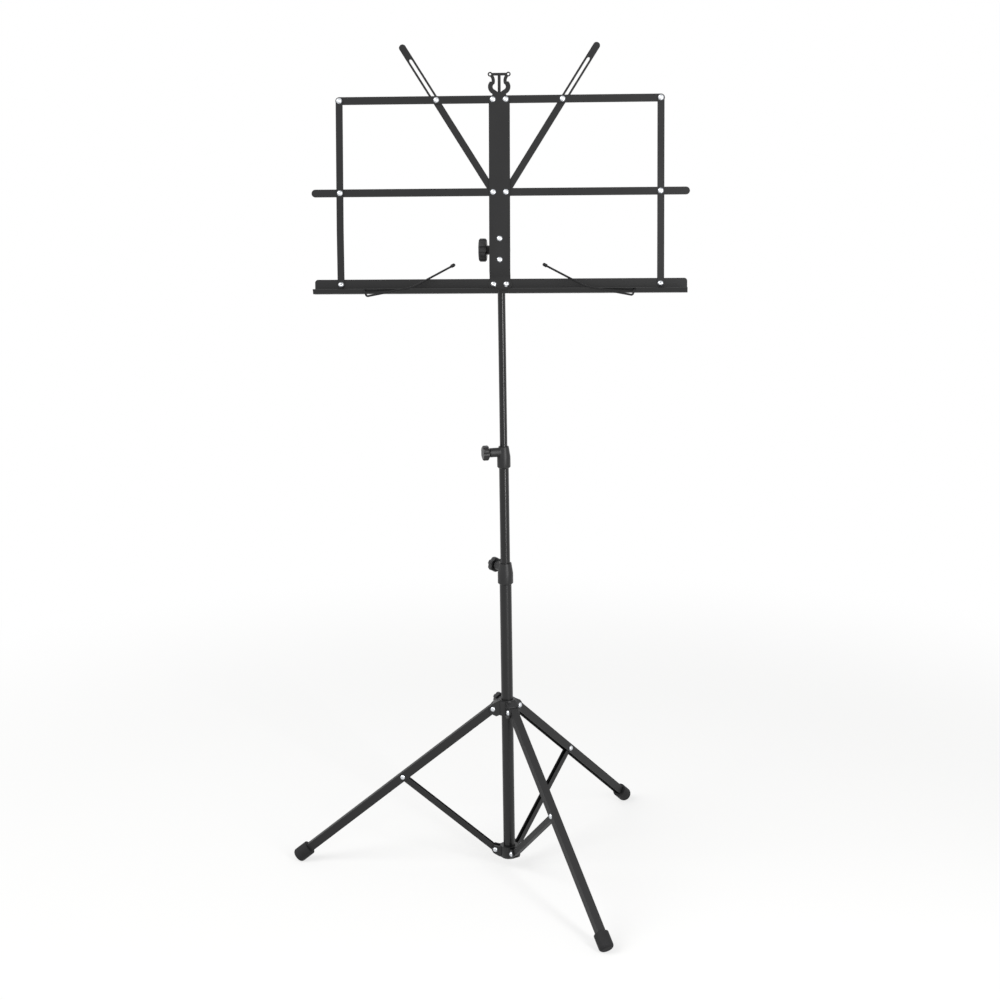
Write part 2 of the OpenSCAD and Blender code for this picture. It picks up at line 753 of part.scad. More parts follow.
module side_strip(s) {
    color(black) at_desk() intersection() {
        translate([s * outer_x, 0, 0])
            stepped(tray_v - strip_w, tray_v + 8, strip_step, top_v + strip_w, strip_w * 2);
        sheet_at(wall_back, desk_offset) translate([s * outer_x, tray_v]) rotate(90) difference() {
            stadium(2 * bar_pitch, strip_w);
            for (i = [0 : 2]) translate([i * bar_pitch, 0]) circle(r = shank_r);
        }
    }
}

module outer_rivets(s) {
    color(zinc) at_desk() {
        desk_rivet(s * outer_x, tray_v, -desk_offset + set_back,
                   sheet + tray_sheet + 2 * layer_gap, shank_r, tail_r);
        for (v = [mid_v, top_v])
            desk_rivet(s * outer_x, v, -desk_offset, 2 * (sheet + layer_gap), shank_r, tail_r);
    }
}

// bend of a sheet about the origin, from straight down to flare short of -X
module bend(flare) {
    reach = 2 * bend_r;
    intersection() {
        difference() {
            circle(r = bend_r);
            circle(r = bend_r - tray_sheet);
        }
        polygon([[0, 0], [0, -reach], [-reach, -reach], [-reach * cos(flare), -reach * sin(flare)]]);
    }
}

// section of a tray in Y and Z: wall, shelf and flared lip
module tray_section() {
    wall_y = wall_back - tray_sheet;
    floor_v = tray_v - tray_below;
    translate([wall_y, floor_v + bend_r]) square([tray_sheet, tray_above + tray_below - bend_r]);
    translate([wall_back - bend_r, floor_v + bend_r]) mirror([1, 0]) bend(0);
    translate([shelf_front + bend_r, floor_v])
        square([wall_back - shelf_front - 2 * bend_r, tray_sheet]);
    translate([shelf_front + bend_r, floor_v + bend_r]) {
        bend(lip_flare);
        rotate(lip_flare) translate([-bend_r, 0]) square([tray_sheet, lip_h - bend_r]);
    }
}

// a corner to cut away, outside a circle about the origin, towards +X or -X and +Z
module corner_cut(r, dir) {
    difference() {
        translate([dir > 0 ? 0 : -r - 1, 0]) square(r + 1);
        circle(r = r);
    }
}

// shapes drawn for the right wing, mirrored for the left one
module flip(s) {
    if (s > 0) children();
    else mirror([1, 0, 0]) children();
}

module tray(s) {
    cut = s > 0 ? right_lip_cut : 0;
    color(black) at_desk() flip(s) difference() {
        translate([tray_gap_x, 0, 0]) rotate([90, 0, 90])
            linear_extrude(desk_w / 2 - tray_gap_x) tray_section();
        // outer top corner, then the inner end about its rivet
        sheet_at(wall_back + 1, tray_sheet + 2) {
            translate([desk_w / 2 - corner_r, tray_v + tray_above - corner_r]) corner_cut(corner_r, 1);
            translate([centre_x, tray_v]) corner_cut(tab_r, -1);
        }
        // shelf and lip short of the centre
        translate([0, wall_back - tray_sheet - 3 * shelf_d, tray_v - tray_below - 1])
            cube([tray_gap_x + cut, 3 * shelf_d, 3 * lip_h]);
        for (x = [centre_x, outer_x]) translate([x, wall_back, tray_v]) rotate([90, 0, 0])
            cylinder(r = shank_r + run_fit, h = 4 * tray_sheet, center = true);
        translate([wire_x, lip_mid_y, lip_mid_v]) rotate([90, 0, 0])
            cylinder(d = wire_d + 2 * run_fit, h = 4 * tray_sheet, center = true);
    }
}

// frame of a page wire: origin on the lip's middle, -Y away from the desk, X towards the centre
module at_wire(s) {
    at_desk() flip(s) translate([wire_x, lip_mid_y, lip_mid_v]) mirror([1, 0, 0]) children();
}

// a straight of wire along +X, and an arc of wire that leaves along +X and turns to +Z
module wire_straight(len) {
    rotate([0, 90, 0]) cylinder(d = wire_d, h = len);
}

module wire_arc(r, turn) {
    translate([0, 0, r]) rotate([90, 0, 0]) rotate(-90) rotate_extrude(angle = turn)
        translate([r, 0]) circle(d = wire_d);
}

// carry on from the end of an arc
module after_arc(r, turn) {
    translate([r * sin(turn), 0, r * (1 - cos(turn))]) rotate([0, -turn, 0]) children();
}

// place a shape at the end of a page wire
module wire_end(s) {
    at_wire(s) translate([0, -wire_out, 0]) rotate([0, -wire_low, 0]) translate([wire_first, 0, 0])
        after_arc(wire_bend_r, wire_turn) translate([wire_last, 0, 0]) children();
}

module page_wire(s) {
    color(black) {
        at_wire(s) translate([0, -wire_out, 0]) rotate([0, -wire_low, 0]) {
            // pin through the lip with its head, elbow, first straight and bend
            translate([0, wire_out + wire_pin, 0]) rotate([90, 0, 0]) {
                cylinder(d = wire_d, h = wire_out + wire_pin - wire_elbow);
                cylinder(r = wire_head_r, h = wire_head_h);
            }
            translate([wire_elbow, wire_elbow, 0]) rotate(180) rotate_extrude(angle = 90)
                translate([wire_elbow, 0]) circle(d = wire_d);
            translate([wire_elbow, 0, 0]) wire_straight(wire_first - wire_elbow);
            translate([wire_first, 0, 0]) {
                wire_arc(wire_bend_r, wire_turn);
                sphere(d = wire_d + wire_bead);
            }
        }
        wire_end(s) mirror([1, 0, 0]) {
            wire_straight(wire_last);
            translate([wire_last, 0, 0]) sphere(d = wire_d + wire_bead);
        }
    }
}

module wire_tip(s) {
    color(moulded) wire_end(s) {
        rotate([0, 90, 0]) cylinder(r = tip_r, h = tip_len - tip_r);
        translate([tip_len - tip_r, 0, 0]) sphere(r = tip_r);
    }
}

base_tube();
bottom_hub();
hub_rivets();
lower_clamp();
strut(180);  // strut_left
strut(60);  // strut_rear
strut(-60);  // strut_front
leg(180);  // leg_left
leg(60);  // leg_rear
leg(-60);  // leg_front
foot(180);  // foot_left
foot(60);  // foot_rear
foot(-60);  // foot_front
brace_rivet(180);  // brace_rivet_left
brace_rivet(60);  // brace_rivet_rear
brace_rivet(-60);  // brace_rivet_front
leg_collar();
collar_rivets();
collar_knob();
collar_screw();
mid_tube();
mid_tube_bush();
upper_clamp();
lower_knob();
lower_screw();
upper_knob();
upper_screw();
rod_bush();
top_rod();
rod_eye();
centre_plate();
tilt_bracket();
bracket_rivets();
centre_rivets();
tilt_knob();
tilt_screw();
tilt_nut();
tray(-1);  // tray_left
wing_bar(-1, mid_v, mid_bar_w / 2 - centre_x - bar_w / 2);  // mid_bar_left
wing_bar(-1, top_v, wing);  // top_bar_left
side_strip(-1);  // side_strip_left
slotted_arm(-1);  // slotted_arm_left
outer_rivets(-1);  // outer_rivets_left
slot_rivet(-1);  // slot_rivet_left
page_wire(-1);  // page_wire_left
wire_tip(-1);  // wire_tip_left
tray(1);  // tray_right
wing_bar(1, mid_v, mid_bar_w / 2 - centre_x - bar_w / 2);  // mid_bar_right
wing_bar(1, top_v, wing);  // top_bar_right
side_strip(1);  // side_strip_right
slotted_arm(1);  // slotted_arm_right
outer_rivets(1);  // outer_rivets_right
slot_rivet(1);  // slot_rivet_right
page_wire(1);  // page_wire_right
wire_tip(1);  // wire_tip_right
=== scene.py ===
"""Dresses a folding music stand: softened sheet metal, tubes and mouldings, rivets, screws, stage."""

import json
import math

import bmesh
import bpy
from bpy.props import FloatProperty, FloatVectorProperty, IntProperty, PointerProperty
from mathutils import Matrix, Vector


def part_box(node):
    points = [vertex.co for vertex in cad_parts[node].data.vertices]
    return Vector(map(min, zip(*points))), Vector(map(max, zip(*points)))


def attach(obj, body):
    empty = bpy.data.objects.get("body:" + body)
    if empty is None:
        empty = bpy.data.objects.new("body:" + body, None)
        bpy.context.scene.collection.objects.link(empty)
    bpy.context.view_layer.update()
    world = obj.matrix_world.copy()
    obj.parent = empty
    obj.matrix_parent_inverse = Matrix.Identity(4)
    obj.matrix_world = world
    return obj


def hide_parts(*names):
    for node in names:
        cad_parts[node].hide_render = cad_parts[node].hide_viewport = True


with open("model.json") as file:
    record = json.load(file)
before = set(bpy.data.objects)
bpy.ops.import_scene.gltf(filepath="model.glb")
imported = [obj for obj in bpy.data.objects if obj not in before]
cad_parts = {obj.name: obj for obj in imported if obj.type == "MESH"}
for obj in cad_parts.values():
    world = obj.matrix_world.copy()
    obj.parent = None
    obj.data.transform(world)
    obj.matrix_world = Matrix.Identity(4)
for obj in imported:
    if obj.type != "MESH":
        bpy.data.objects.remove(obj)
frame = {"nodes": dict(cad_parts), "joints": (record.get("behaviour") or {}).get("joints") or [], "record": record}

bl_info = {
    "name": "Folding Music Stand",
    "version": (1, 0, 0),
    "blender": (4, 5, 0),
    "location": "View3D > Sidebar > Music Stand",
    "description": "Builds the finished pieces and the studio of a folding music stand",
    "category": "Object",
}

SOLIDS = frame["nodes"]
JOINTS = {joint["name"]: joint for joint in frame["joints"]}
BODY_OF = {node: body for body, nodes in frame["record"]["behaviour"]["bodies"].items() for node in nodes}
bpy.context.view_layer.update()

LEGS = ("left", "rear", "front")
SIDES = ("left", "right")
DESK_FRONT = Vector(JOINTS["wing_right"]["axis"])  # out of the desk, towards the player
WELD = 2e-6  # metres within which a solid's loose triangles share a corner
WHITE = (1.0, 1.0, 1.0, 1.0)
SEEING = ("Is Camera Ray", "Is Glossy Ray", "Is Transmission Ray")  # rays that look at the background


def linear(colour):
    """Turns an sRGB hex colour into a linear RGBA one."""
    parts = [int(colour[i : i + 2], 16) / 255 for i in (1, 3, 5)]
    return tuple(c / 12.92 if c <= 0.04045 else ((c + 0.055) / 1.055) ** 2.4 for c in parts) + (1.0,)


def colour_property(name, description, colour):
    """A colour, from its sRGB hex value."""
    return FloatVectorProperty(
        name=name, description=description, subtype="COLOR", size=4, min=0, max=1, default=linear(colour)
    )


def length_property(name, description, metres, low=0.0, high=10.0):
    """A length in metres."""
    return FloatProperty(
        name=name,
        description=description,
        default=metres,
        min=low,
        max=high,
        subtype="DISTANCE",
        unit="LENGTH",
    )


def share_property(name, description, share, low=0.0):
    """A share of one."""
    return FloatProperty(
        name=name, description=description, default=share, min=low, max=1, subtype="FACTOR"
    )


def angle_property(name, description, degrees):
    """An angle, written in degrees."""
    return FloatProperty(
        name=name, description=description, default=math.radians(degrees), subtype="ANGLE"
    )


def power_property(name, description, watts):
    """The power of a lamp."""
    return FloatProperty(name=name, description=description, default=watts, min=0, unit="POWER")


# ---------- settings ----------


class StandFinishes(bpy.types.PropertyGroup):
    """Colours and grain of the stand's finishes."""

    paint: colour_property("Paint", "Satin black paint on the steel", "#0f0f10")
    plastic: colour_property("Moulded plastic", "Black plastic of the clamps, hub and knobs", "#101011")
    rubber: colour_property("Rubber", "Black rubber of the feet", "#151516")
    zinc: colour_property("Zinc", "Bright zinc on the rivets and screws", "#dfe2e6")
    paint_roughness: share_property("Paint roughness", "Satin of the paint", 0.34)
    textured_roughness: share_property("Textured roughness", "Dullness of the legs' coat", 0.56)
    rubbed_roughness: share_property("Rubbed roughness", "Sheen of the tubes that slide", 0.23)
    peel: length_property("Orange peel", "Width of one ripple in the paint", 0.0016)
    grain: length_property("Mould grain", "Width of one grain in the plastic's texture", 0.0007)


class StandEdges(bpy.types.PropertyGroup):
    """Rounding of edges, and the width of the arms' slots."""

    sheet: length_property("Sheet edges", "Rounding of a painted sheet's edges", 0.0003)
    channel: length_property("Channel edges", "Rounding of the leg and strut channels", 0.0003)
    tube: length_property("Tube ends", "Rounding of a tube's cut ends", 0.0002)
    moulding: length_property("Moulding edges", "Rounding of the hub, collar and clamps", 0.0006)
    knob: length_property("Knob edges", "Rounding of the knobs", 0.0005)
    slot: share_property("Slot", "Width of the arms' slots, as a share of the solid's", 0.62, 0.5)


class StandRivets(bpy.types.PropertyGroup):
    """Sizes of the rivets and of the screw thread."""

    head_height: length_property("Head height", "Height of a rivet's dome", 0.0021)
    tail_height: length_property("Tail height", "Height of a rivet's peened tail", 0.0011)
    shoulder: FloatProperty(
        name="Shoulder", description="Steepness of a dome's shoulder", default=3.5, min=1.5, max=8
    )
    dimple: share_property("Dimple", "Depth of the setting mark, as a share of the dome's height", 0.3)
    segments: IntProperty(
        name="Segments", description="Segments round a rivet", default=32, min=12, max=64
    )
    rings: IntProperty(
        name="Rings", description="Rings from a dome's top to its rim", default=11, min=3, max=16
    )
    pitch: length_property("Thread pitch", "Pitch of the tilt screw's thread", 0.001)
    thread_depth: length_property("Thread depth", "Depth of that thread", 0.00045)


class StandWires(bpy.types.PropertyGroup):
    """Bends of the page wires, which leave their pin downwards and turn back under it."""

    radius: length_property("Wire radius", "Radius of a page wire", 0.0013)
    drop: length_property("Hook drop", "Depth of the hook below the pin", 0.0069)
    run: length_property("Hook run", "Reach of the hook towards the centre", 0.003)
    first: length_property("First straight", "Length of the wire from its hook to its bend", 0.06)
    last: length_property("Last straight", "Length of the wire from its bend to its bulb", 0.0588)
    low: angle_property("First slope", "Slope of the first straight", 10.6)
    high: angle_property("Last slope", "Slope of the last straight", 27.7)
    bend: length_property("Bend radius", "Radius of the wide bend", 0.06)
    hook: length_property("Hook radius", "Radius of the hook's bends", 0.0022)


class StandStage(bpy.types.PropertyGroup):
    """Camera, lights and floor."""

    floor: colour_property("Floor", "Pale studio floor", "#9c9c9b")
    floor_size: length_property("Floor size", "Side of the square floor", 60.0, 1.0, 200.0)
    lift: share_property("Lift", "White added to the lit floor for all that looks at it", 0.67)
    pool: length_property("Pool", "Radius of the floor that shows the shadow in full", 0.7, 0.2, 5.0)
    surround: share_property("Surround", "Strength of the light from all round", 0.42)
    key: power_property("Key light", "Power of the large lamp", 95)
    strip: power_property("Strip light", "Power of the upright strip", 24)
    lens: FloatProperty(name="Lens", description="Focal length in millimetres", default=74.14, min=20)
    place: FloatVectorProperty(
        name="Camera place",
        description="Place of the camera",
        default=(0.17161, -2.65981, 1.1786),
        subtype="TRANSLATION",
        unit="LENGTH",
        precision=5,
    )
    heading: angle_property("Heading", "Turn of the camera to its left", 3.817)
    pitch: angle_property("Pitch", "Slope at which the camera looks down", 13.781)
    roll: angle_property("Roll", "Tilt of the camera to its right", 0.843)


# ---------- helpers ----------


def add_node(tree, kind, inputs=None, **settings):
    """Adds a node with its settings, and links or sets its inputs."""
    node = tree.nodes.new(kind)
    for name, value in settings.items():
        setattr(node, name, value)
    for socket, value in (inputs or {}).items():
        if isinstance(value, bpy.types.NodeSocket):
            tree.links.new(value, node.inputs[socket])
        else:
            node.inputs[socket].default_value = value
    return node


def new_material(name):
    """A material, its empty node tree, and the place on the piece at which it is seen."""
    material = bpy.data.materials.new(name)
    material.use_nodes = True
    tree = material.node_tree
    tree.nodes.clear()
    return material, tree, add_node(tree, "ShaderNodeTexCoord").outputs["Object"]


def add_object(name, data):
    """Adds an object to the scene, at the origin."""
    thing = bpy.data.objects.new(name, data)
    bpy.context.scene.collection.objects.link(thing)
    return thing


def stand_for(node, piece):
    """Lets a finished piece ride on its solid's body and stand for the solid."""
    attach(piece, BODY_OF[node])
    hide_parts(node)


def welded(node):
    """A CAD solid as an editable shape whose triangles share their corners."""
    shape = bmesh.new()
    shape.from_mesh(SOLIDS[node].data)
    bmesh.ops.remove_doubles(shape, verts=shape.verts, dist=WELD)
    return shape


def soften(node, material, rounding, segments=2, smooth=math.radians(32)):
    """A copy of a CAD solid with rounded edges and smooth curves, which stands for the solid."""
    mesh = SOLIDS[node].data.copy()
    shape = welded(node)
    bmesh.ops.dissolve_limit(shape, angle_limit=math.radians(0.4), verts=shape.verts, edges=shape.edges)
    shape.to_mesh(mesh)
    shape.free()
    mesh.materials.clear()
    mesh.materials.append(material)
    mesh.shade_smooth()
    mesh.set_sharp_from_angle(angle=smooth)
    piece = add_object(node + "_finished", mesh)
    if rounding:
        bevel = piece.modifiers.new("edges", "BEVEL")
        bevel.width = rounding
        bevel.segments = segments
        bevel.limit_method = "ANGLE"
        bevel.angle_limit = smooth
        bevel.harden_normals = True
    stand_for(node, piece)
    return piece


def rounded(path, radii, steps=8):
    """A path whose inner corners are arcs."""
    points = [path[0]]
    for before, corner, after, radius in zip(path, path[1:], path[2:], radii):
        back, on = (before - corner).normalized(), (after - corner).normalized()
        half = back.angle(on) / 2
        centre = corner + (back + on).normalized() * radius / math.sin(half)
        start = corner + back * radius / math.tan(half) - centre
        axis = on.cross(back)
        for i in range(steps + 1):
            points.append(centre + Matrix.Rotation((math.pi - 2 * half) * i / steps, 3, axis) @ start)
    return points + [path[-1]]


def long_axis(points):
    """The middle of some points and the direction in which they reach furthest."""
    middle = sum(points, Vector()) / len(points)
    along = points[0] - middle
    for _ in range(12):  # each turn brings it closer to the longest way
        along = sum(((p - middle) * (p - middle).dot(along) for p in points), Vector()).normalized()
    return middle, along


def narrow_slot(mesh, share):
    """Draws the sides of an arm's slot towards its middle line, which makes its rims wider."""
    middle, along = long_axis([v.co for v in mesh.vertices])
    side = DESK_FRONT.cross(along).normalized()
    off = [(v.co - middle).dot(side) for v in mesh.vertices]
    reach = [(v.co - middle).dot(along) for v in mesh.vertices]
    line, edge = (max(off) + min(off)) / 2, (max(off) - min(off)) / 2
    inside = edge * 0.85  # takes in the slot's sides, and leaves out the arm's own
    margin = edge + 0.003  # takes in the round end and its pivot's hole
    for vert, o, r in zip(mesh.vertices, off, reach):
        if abs(o - line) < inside and min(reach) + margin < r < max(reach) - margin:
            vert.co -= side * (o - line) * (1 - share)


def islands(node):
    """The points of each separate solid in a CAD node, always in the same order."""
    shape = welded(node)
    seen, found = set(), []
    for first in shape.verts:
        if first in seen:
            continue
        seen.add(first)
        group, edge = [], [first]
        while edge:
            vert = edge.pop()
            group.append(vert.co.copy())
            for link in vert.link_edges:
                other = link.other_vert(vert)
                if other not in seen:
                    seen.add(other)
                    edge.append(other)
        found.append(group)
    shape.free()
    return found


# ---------- finishes ----------


def paint_material(settings, name, satin, ripple, slide_marks=False):
    """Powder coat, black, sprayed on steel and baked: soft wide highlights, with a ripple like
    orange peel. The tubes that slide also get fine rubbed lines along their length."""
    material, tree, where = new_material(name)
    peel = add_node(
        tree,
        "ShaderNodeTexNoise",
        {"Scale": 1 / settings.peel, "Detail": 2.0, "Roughness": 0.45, "Vector": where},
    )
    # clouds about 45 mm wide, where the coat is thicker and duller
    cloud = add_node(tree, "ShaderNodeTexNoise", {"Scale": 22.0, "Detail": 3.0, "Vector": where})
    rough = add_node(
        tree,
        "ShaderNodeMapRange",
        {"To Min": satin - 0.06, "To Max": satin + 0.08, "Value": cloud.outputs["Fac"]},
    )
    roughness = rough.outputs["Result"]
    if slide_marks:
        # lines about 0.6 mm apart round the tube and 60 mm long
        stretch = add_node(tree, "ShaderNodeMapping", {"Scale": (1600, 1600, 16), "Vector": where})
        lines = add_node(
            tree, "ShaderNodeTexNoise", {"Scale": 1.0, "Detail": 1.0, "Vector": stretch.outputs["Vector"]}
        )
        marks = add_node(
            tree,
            "ShaderNodeMapRange",
            {"From Min": 0.55, "From Max": 0.7, "To Max": 0.08, "Value": lines.outputs["Fac"]},
        )
        roughness = add_node(
            tree, "ShaderNodeMath", {0: roughness, 1: marks.outputs["Result"]}, operation="SUBTRACT"
        ).outputs["Value"]
    dark = tuple(c * 0.8 for c in settings.paint[:3]) + (1.0,)
    tint = add_node(
        tree,
        "ShaderNodeMix",
        {"A": dark, "B": tuple(settings.paint), "Factor": cloud.outputs["Fac"]},
        data_type="RGBA",
    )
    bump = add_node(
        tree, "ShaderNodeBump", {"Strength": 0.25, "Distance": ripple, "Height": peel.outputs["Fac"]}
    )
    surface = add_node(
        tree,
        "ShaderNodeBsdfPrincipled",
        {
            "IOR": 1.5,
            "Metallic": 0.0,
            "Specular IOR Level": 0.42,
            "Base Color": tint.outputs["Result"],
            "Roughness": roughness,
            "Normal": bump.outputs["Normal"],
        },
    )
    add_node(tree, "ShaderNodeOutputMaterial", {"Surface": surface.outputs["BSDF"]})
    return material


def plastic_material(settings, name, grain, roughness, shine):
    """Glass-filled nylon or soft vinyl, moulded black against a spark-eroded tool: a dull, even
    grain that breaks the highlights up, slightly cloudy where the melt met."""
    material, tree, where = new_material(name)
    spark = add_node(
        tree, "ShaderNodeTexNoise", {"Scale": 1 / grain, "Detail": 4.0, "Roughness": 0.6, "Vector": where}
    )
    # clouds about 11 mm wide
    flow = add_node(tree, "ShaderNodeTexNoise", {"Scale": 90.0, "Detail": 2.0, "Vector": where})
    light = tuple(c * 1.5 for c in settings.plastic[:3]) + (1.0,)
    tint = add_node(
        tree,
        "ShaderNodeMix",
        {"A": tuple(settings.plastic), "B": light, "Factor": flow.outputs["Fac"]},
        data_type="RGBA",
    )
    rough = add_node(
        tree,
        "ShaderNodeMapRange",
        {"To Min": roughness - 0.08, "To Max": roughness + 0.1, "Value": spark.outputs["Fac"]},
    )
    bump = add_node(
        tree, "ShaderNodeBump", {"Strength": 0.4, "Distance": 0.00008, "Height": spark.outputs["Fac"]}
    )
    surface = add_node(
        tree,
        "ShaderNodeBsdfPrincipled",
        {
            "IOR": 1.52,
            "Metallic": 0.0,
            "Specular IOR Level": shine,
            "Base Color": tint.outputs["Result"],
            "Roughness": rough.outputs["Result"],
            "Normal": bump.outputs["Normal"],
        },
    )
    add_node(tree, "ShaderNodeOutputMaterial", {"Surface": surface.outputs["BSDF"]})
    return material


def rubber_material(settings, name):
    """Natural rubber with carbon black, pressed in a mould: almost no shine, a soft bloom of grey
    in patches and a fine leathery grain."""
    material, tree, where = new_material(name)
    # patches about 17 mm wide and cells about 1.1 mm wide
    bloom = add_node(
        tree, "ShaderNodeTexNoise", {"Scale": 60.0, "Detail": 5.0, "Roughness": 0.6, "Vector": where}
    )
    skin = add_node(tree, "ShaderNodeTexVoronoi", {"Scale": 900.0, "Vector": where})
    grey = tuple(c * 1.9 for c in settings.rubber[:3]) + (1.0,)
    patches = add_node(
        tree, "ShaderNodeMapRange", {"From Min": 0.4, "From Max": 0.75, "Value": bloom.outputs["Fac"]}
    )
    tint = add_node(
        tree,
        "ShaderNodeMix",
        {"A": tuple(settings.rubber), "B": grey, "Factor": patches.outputs["Result"]},
        data_type="RGBA",
    )
    rough = add_node(
        tree, "ShaderNodeMapRange", {"To Min": 0.62, "To Max": 0.85, "Value": bloom.outputs["Fac"]}
    )
    bump = add_node(
        tree, "ShaderNodeBump", {"Strength": 0.3, "Distance": 0.0001, "Height": skin.outputs["Distance"]}
    )
    surface = add_node(
        tree,
        "ShaderNodeBsdfPrincipled",
        {
            "IOR": 1.52,
            "Metallic": 0.0,
            "Specular IOR Level": 0.3,
            "Base Color": tint.outputs["Result"],
            "Roughness": rough.outputs["Result"],
            "Normal": bump.outputs["Normal"],
        },
    )
    add_node(tree, "ShaderNodeOutputMaterial", {"Surface": surface.outputs["BSDF"]})
    return material


def zinc_material(settings, name):
    """Bright zinc plate on steel rivets, peened cold: a white silver with faint hammer facets and
    duller spots."""
    material, tree, where = new_material(name)
    # spots about 2.4 mm wide and facets about 1.4 mm wide
    spots = add_node(tree, "ShaderNodeTexNoise", {"Scale": 420.0, "Detail": 3.0, "Vector": where})
    facets = add_node(tree, "ShaderNodeTexVoronoi", {"Scale": 700.0, "Vector": where})
    dull = tuple(c * 0.72 for c in settings.zinc[:3]) + (1.0,)
    tint = add_node(
        tree,
        "ShaderNodeMix",
        {"A": dull, "B": tuple(settings.zinc), "Factor": spots.outputs["Fac"]},
        data_type="RGBA",
    )
    rough = add_node(
        tree, "ShaderNodeMapRange", {"To Min": 0.2, "To Max": 0.42, "Value": spots.outputs["Fac"]}
    )
    bump = add_node(
        tree,
        "ShaderNodeBump",
        {"Strength": 0.2, "Distance": 0.00008, "Height": facets.outputs["Distance"]},
    )
    surface = add_node(
        tree,
        "ShaderNodeBsdfPrincipled",
        {
            "Metallic": 1.0,
            "Base Color": tint.outputs["Result"],
            "Roughness": rough.outputs["Result"],
            "Normal": bump.outputs["Normal"],
        },
    )
    add_node(tree, "ShaderNodeOutputMaterial", {"Surface": surface.outputs["BSDF"]})
    return material


def finish(context, name):
    """The named finish, made the first time it is asked for."""
    if name in bpy.data.materials:
        return bpy.data.materials[name]
    settings = context.scene.stand_finishes
    if name == "satin_powder_coat":
        return paint_material(settings, name, satin=settings.paint_roughness, ripple=0.00006)
    if name == "textured_powder_coat":
        return paint_material(settings, name, satin=settings.textured_roughness, ripple=0.0003)
    if name == "rubbed_powder_coat":
        return paint_material(
            settings, name, satin=settings.rubbed_roughness, ripple=0.00003, slide_marks=True
        )
    if name == "grained_nylon":
        return plastic_material(settings, name, grain=settings.grain, roughness=0.42, shine=0.4)
    if name == "smooth_vinyl":
        return plastic_material(settings, name, grain=settings.grain * 2, roughness=0.5, shine=0.2)
    if name == "carbon_black_rubber":
        return rubber_material(settings, name)
    if name == "bright_zinc_plate":
        return zinc_material(settings, name)
    raise ValueError("no finish is called " + name)


# ---------- geometry trees ----------


def new_tree(name, sizes, counts=()):
    """A geometry tree with named inputs for its sizes, counts and finish, and those inputs."""
    tree = bpy.data.node_groups.new(name, "GeometryNodeTree")
    tree.interface.new_socket("Geometry", in_out="INPUT", socket_type="NodeSocketGeometry")
    for size in sizes:
        tree.interface.new_socket(size, in_out="INPUT", socket_type="NodeSocketFloat")
    for count in counts:
        tree.interface.new_socket(count, in_out="INPUT", socket_type="NodeSocketInt")
    tree.interface.new_socket("Finish", in_out="INPUT", socket_type="NodeSocketMaterial")
    tree.interface.new_socket("Geometry", in_out="OUTPUT", socket_type="NodeSocketGeometry")
    return tree, tree.nodes.new("NodeGroupInput").outputs


def end_tree(tree, source, geometry):
    """Ends a geometry tree: its instances are made real and get their finish."""
    real = add_node(tree, "GeometryNodeRealizeInstances", {"Geometry": geometry})
    dressed = add_node(
        tree,
        "GeometryNodeSetMaterial",
        {"Geometry": real.outputs["Geometry"], "Material": source["Finish"]},
    )
    add_node(tree, "NodeGroupOutput", {"Geometry": dressed.outputs["Geometry"]})
    return tree


